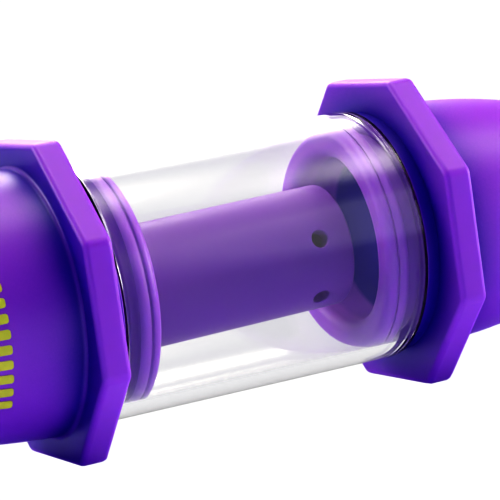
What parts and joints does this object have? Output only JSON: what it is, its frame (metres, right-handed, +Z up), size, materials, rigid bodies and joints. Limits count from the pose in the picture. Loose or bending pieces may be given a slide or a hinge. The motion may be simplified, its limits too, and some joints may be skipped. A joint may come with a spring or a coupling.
{
  "type": "hand-held water filter pipe",
  "caption": "Hand-held inline water filter pipe: a clear glass chamber between two violet silicone ends with octagonal anti-roll flanges, a perforated inner stem and a capped metal tip.",
  "frame": {"origin": "under the middle of the pipe's length, on the surface that its flanges rest on", "axes": "+X along the pipe from the tip end to the mouthpiece, +Z up, away from the flats that it rests on"},
  "size_m": [0.184, 0.046, 0.046],
  "materials": {
    "violet_silicone": "satin, slightly translucent moulded silicone",
    "stem_silicone": "satin moulded silicone",
    "steel": "fine turned",
    "titanium": "fine turned titanium, slightly heat-tinted at the point",
    "black_rubber": "matte",
    "clear_glass": "clear, fire-polished rims",
    "yellow_print": "screen-printed ink"
  },
  "bodies": {
    "base": {"base_body": "violet_silicone", "inner_stem": "stem_silicone", "joint_sleeve": "steel"},
    "chamber": {"glass_tube": "clear_glass"},
    "mouthpiece": {"mouthpiece_body": "violet_silicone"},
    "tip": {"tip": "titanium", "tip_ring_inner": "black_rubber", "tip_ring_outer": "black_rubber"},
    "cap": {"tip_cap": "violet_silicone"}
  },
  "joints": [
    {"name": "chamber_pull", "type": "slide", "parent": "base", "child": "chamber", "axis": [1, 0, 0], "range_m": [0, 0.05]},
    {"name": "mouthpiece_pull", "type": "slide", "parent": "chamber", "child": "mouthpiece", "axis": [1, 0, 0], "range_m": [0, 0.03]},
    {"name": "tip_pull", "type": "slide", "parent": "base", "child": "tip", "axis": [-1, 0, 0], "range_m": [0, 0.025]},
    {"name": "cap_pull", "type": "slide", "parent": "tip", "child": "cap", "axis": [-1, 0, 0], "range_m": [0, 0.03]}
  ]
}
